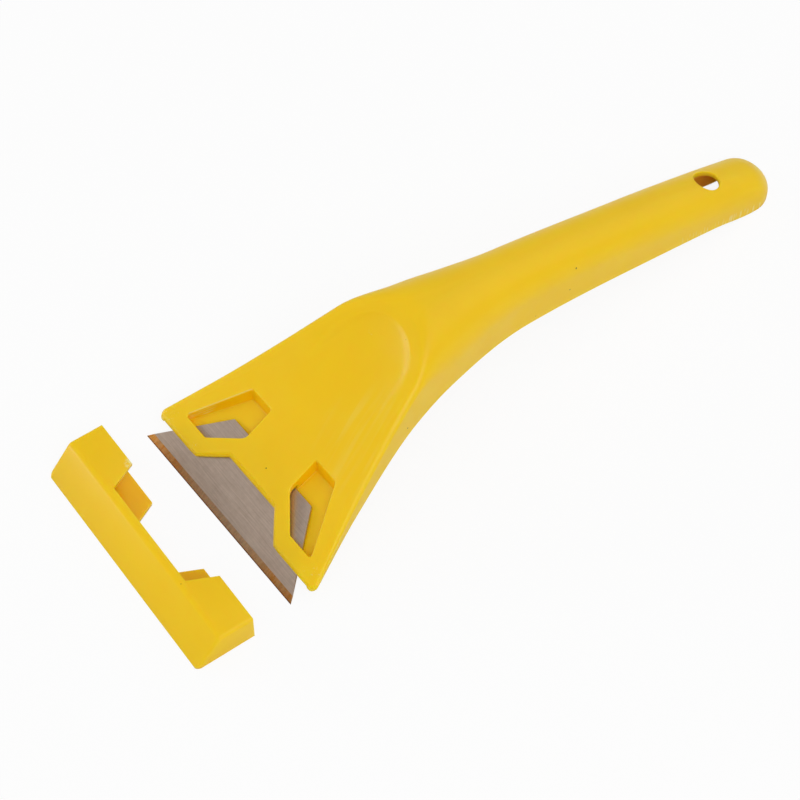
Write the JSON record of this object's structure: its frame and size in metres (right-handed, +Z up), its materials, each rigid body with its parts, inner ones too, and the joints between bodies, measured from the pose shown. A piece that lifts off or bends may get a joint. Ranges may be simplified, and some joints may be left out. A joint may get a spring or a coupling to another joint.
{
  "type": "window scraper",
  "caption": "Plastic window scraper with a steel blade held under its head, a hollow arched handle and a pull-off blade guard.",
  "frame": {"origin": "middle of the whole footprint, on the table", "axes": "+Y from the blade to the end of the handle, +Z up from the table, +X to the right when looking from the blade to the handle"},
  "size_m": [0.0676, 0.2026, 0.0369],
  "materials": {
    "yellow_moulding": "satin moulded plastic",
    "guard_moulding": "satin moulded plastic",
    "blade_steel": "rolled strip, ground edge"
  },
  "bodies": {
    "holder": {"scraper_body": "yellow_moulding"},
    "edge": {"blade": "blade_steel"},
    "guard": {"blade_guard": "guard_moulding"}
  },
  "joints": [
    {"name": "blade_slide", "type": "slide", "parent": "holder", "child": "edge", "axis": [0, -0.8902, -0.4555], "range_m": [0, 0.02]},
    {"name": "guard_slide", "type": "slide", "parent": "holder", "child": "guard", "axis": [0.0314, 0.9995, 0], "range_m": [-0.035, 0.0085]}
  ]
}
